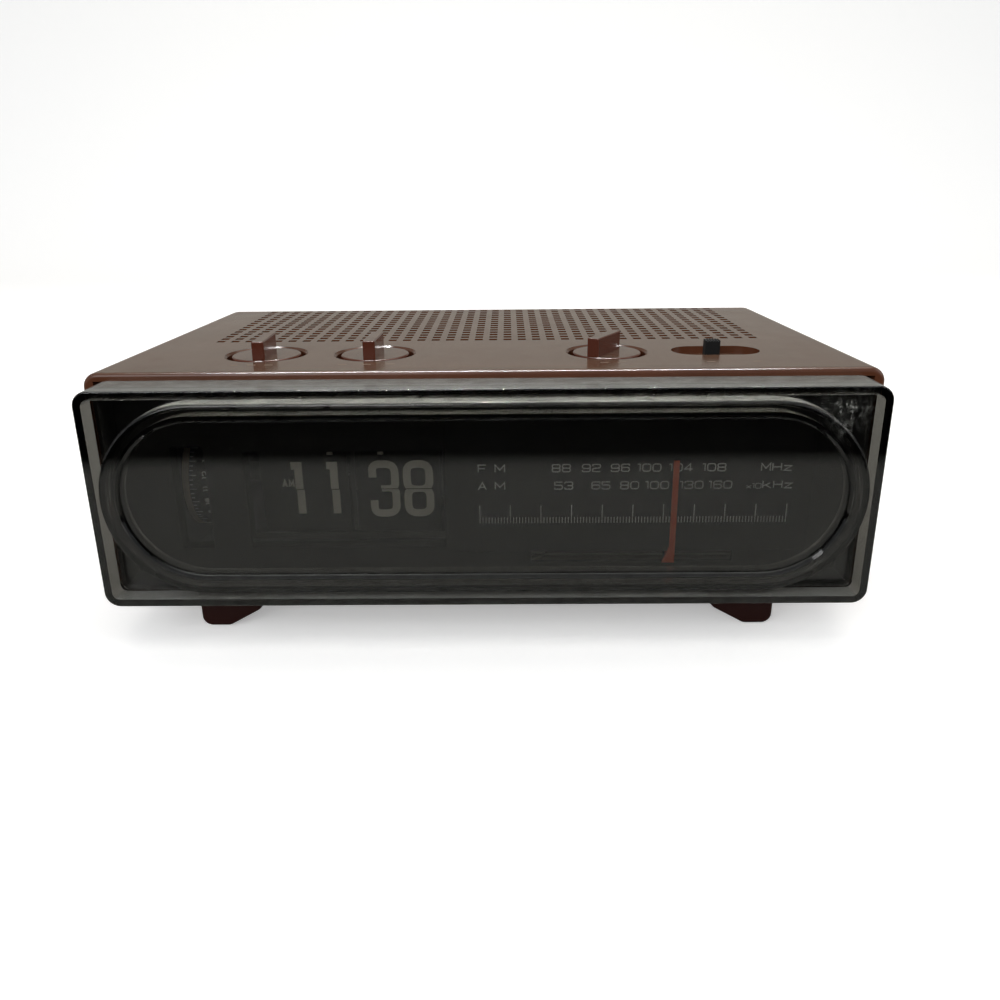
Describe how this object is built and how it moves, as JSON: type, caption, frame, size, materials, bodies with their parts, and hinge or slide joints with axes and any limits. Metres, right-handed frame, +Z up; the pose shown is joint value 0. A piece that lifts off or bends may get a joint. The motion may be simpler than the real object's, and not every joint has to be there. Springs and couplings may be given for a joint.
{
  "type": "flip clock radio",
  "caption": "Bedside flip-leaf alarm clock with a two-band radio: low brown cabinet, smoked clear front cover, grille on top, turning and sliding controls.",
  "frame": {"origin": "on the surface that the clock stands on, under the middle of its overall box", "axes": "+X to the right as the clock is read, +Y from the front cover to the back, +Z up"},
  "size_m": [0.304, 0.172, 0.11],
  "materials": {
    "cabinet": "glossy moulded red-brown plastic",
    "bottom_plastic": "plain moulded brown plastic",
    "lens": "clear smoked moulded plastic, polished",
    "black_panel": "matt black",
    "scale_print": "black with pale printed scale",
    "knob_brown": "glossy moulded red-brown plastic",
    "black_plastic": "fine matt black",
    "switch_body": "brown moulded switch housing",
    "steel": "plain steel",
    "plated_can": "zinc-plated steel",
    "clock_plastic": "dark moulded plastic",
    "leaf_black": "black leaves with pale numerals",
    "catch_pale": "pale moulded plastic",
    "alarm_print": "black drum with pale printed scale",
    "lamp_glass": "clear glass",
    "drum_plastic": "white moulded plastic",
    "capacitor_case": "clear-white moulded case",
    "cord": "thin woven cord",
    "pointer_red": "orange-red",
    "board": "paper laminate board",
    "can_aluminium": "drawn can",
    "sleeve": "shrunk plastic sleeve",
    "ferrite": "dark grey ferrite",
    "winding": "enamelled copper winding",
    "laminations": "varnished steel laminations",
    "rubber": "black rubber",
    "cone_paper": "dark pressed paper",
    "screws": "plated steel"
  },
  "bodies": {
    "cabinet": {"aerial_coil": "winding", "assembly_screws": "screws", "band_switch_body": "switch_body", "bottom_cover": "bottom_plastic", "cabinet_shell": "cabinet", "circuit_board": "board", "clock_axle": "steel", "clock_frame": "clock_plastic", "clock_motor": "plated_can", "control_plate": "steel", "cord_inlet": "rubber", "cover_screws": "screws", "dial_cord": "cord", "dial_lamp": "lamp_glass", "dial_panel": "black_panel", "display_leaves": "leaf_black", "electrolytic_capacitors": "sleeve", "feet": "cabinet", "ferrite_rod": "ferrite", "foot_pads": "rubber", "front_lens": "lens", "function_switch": "switch_body", "lamp_holder": "steel", "leaf_catches": "catch_pale", "pointer_rail": "steel", "scale_plate": "scale_print", "sleep_timer": "plated_can", "speaker_cone": "cone_paper", "speaker_frame": "plated_can", "speaker_magnet": "ferrite", "spindle_bracket": "steel", "transformer_coil": "winding", "transformer_core": "laminations", "tuned_cans": "can_aluminium", "variable_capacitor": "capacitor_case", "volume_control": "plated_can"},
    "sleep_dial": {"sleep_knob": "knob_brown"},
    "function_dial": {"function_knob": "knob_brown"},
    "volume_dial": {"volume_knob": "knob_brown"},
    "band_slider": {"band_button": "black_plastic"},
    "minute_wheel": {"minute_drum": "clock_plastic", "minute_leaves": "leaf_black"},
    "hour_wheel": {"hour_drum": "clock_plastic", "hour_leaves": "leaf_black"},
    "minute_leaf": {"minute_flap": "leaf_black"},
    "hour_leaf": {"hour_flap": "leaf_black"},
    "alarm_wheel": {"alarm_drum": "alarm_print", "alarm_knob": "black_plastic"},
    "time_setter": {"time_knob": "black_plastic", "time_gear": "steel"},
    "motor_shaft": {"motor_pinion": "clock_plastic"},
    "tuner_shaft": {"tuning_spindle": "steel", "tuning_knob": "black_plastic"},
    "tuner_drum": {"tuning_drum": "drum_plastic"},
    "pointer_slider": {"dial_pointer": "pointer_red", "pointer_carriage": "black_plastic"},
    "idler_a": {"idler_front_left": "drum_plastic"},
    "idler_b": {"idler_front_right": "drum_plastic"},
    "idler_c": {"idler_rear_right": "drum_plastic"}
  },
  "joints": [
    {"name": "sleep_turn", "type": "hinge", "parent": "cabinet", "child": "sleep_dial", "pos_m": [-0.0859, -0.0362, 0.1028], "axis": [0, 0, 1], "range_deg": [-290, 0]},
    {"name": "function_turn", "type": "hinge", "parent": "cabinet", "child": "function_dial", "pos_m": [-0.043, -0.0362, 0.1028], "axis": [0, 0, 1], "range_deg": [-60, 30]},
    {"name": "volume_turn", "type": "hinge", "parent": "cabinet", "child": "volume_dial", "pos_m": [0.0481, -0.0362, 0.1028], "axis": [0, 0, 1], "range_deg": [-124, 176]},
    {"name": "band_slide", "type": "slide", "parent": "cabinet", "child": "band_slider", "axis": [1, 0, 0], "range_m": [0, 0.0066]},
    {"name": "minute_spin", "type": "hinge", "parent": "cabinet", "child": "minute_wheel", "pos_m": [-0.033, -0.036, 0.0542], "axis": [1, 0, 0], "continuous": true},
    {"name": "hour_spin", "type": "hinge", "parent": "cabinet", "child": "hour_wheel", "pos_m": [-0.069, -0.036, 0.0542], "axis": [1, 0, 0], "continuous": true},
    {"name": "minute_fall", "type": "hinge", "parent": "cabinet", "child": "minute_leaf", "pos_m": [-0.033, -0.0582, 0.0542], "axis": [1, 0, 0], "range_deg": [0, 178]},
    {"name": "hour_fall", "type": "hinge", "parent": "cabinet", "child": "hour_leaf", "pos_m": [-0.069, -0.0582, 0.0542], "axis": [1, 0, 0], "range_deg": [0, 178]},
    {"name": "alarm_spin", "type": "hinge", "parent": "cabinet", "child": "alarm_wheel", "pos_m": [-0.11, -0.036, 0.0542], "axis": [1, 0, 0], "continuous": true},
    {"name": "time_set_spin", "type": "hinge", "parent": "cabinet", "child": "time_setter", "pos_m": [-0.144, -0.0071, 0.0542], "axis": [1, 0, 0], "continuous": true},
    {"name": "motor_spin", "type": "hinge", "parent": "cabinet", "child": "motor_shaft", "pos_m": [-0.012, -0.02051, 0.03574], "axis": [1, 0, 0], "continuous": true},
    {"name": "tuning_turn", "type": "hinge", "parent": "cabinet", "child": "tuner_shaft", "pos_m": [0.144, -0.03, 0.031], "axis": [1, 0, 0], "range_deg": [-767.76, 304.52]},
    {"name": "drum_turn", "type": "hinge", "parent": "cabinet", "child": "tuner_drum", "pos_m": [0.03285, -0.01085, 0.0275], "axis": [0, 0, 1], "range_deg": [-128.88, 51.12]},
    {"name": "pointer_slide", "type": "slide", "parent": "cabinet", "child": "pointer_slider", "axis": [1, 0, 0], "range_m": [-0.0469, 0.0186]},
    {"name": "idler_a_turn", "type": "hinge", "parent": "cabinet", "child": "idler_a", "pos_m": [0.017, -0.056, 0.0275], "axis": [0, 0, 1], "range_deg": [-537.43, 213.17]},
    {"name": "idler_b_turn", "type": "hinge", "parent": "cabinet", "child": "idler_b", "pos_m": [0.115, -0.056, 0.0275], "axis": [0, 0, 1], "range_deg": [-537.43, 213.17]},
    {"name": "idler_c_turn", "type": "hinge", "parent": "cabinet", "child": "idler_c", "pos_m": [0.115, 0.005, 0.0275], "axis": [0, 0, 1], "range_deg": [-537.43, 213.17]}
  ],
  "couplings": [
    {"joint": "hour_spin", "follows": "minute_spin", "ratio": 0.041667},
    {"joint": "time_set_spin", "follows": "minute_spin", "ratio": -2},
    {"joint": "motor_spin", "follows": "minute_spin", "ratio": -4},
    {"joint": "drum_turn", "follows": "tuning_turn", "ratio": 0.16787},
    {"joint": "pointer_slide", "follows": "tuning_turn", "m_per_rad": 0.0035},
    {"joint": "idler_a_turn", "follows": "tuning_turn", "ratio": 0.7},
    {"joint": "idler_b_turn", "follows": "tuning_turn", "ratio": 0.7},
    {"joint": "idler_c_turn", "follows": "tuning_turn", "ratio": 0.7}
  ]
}
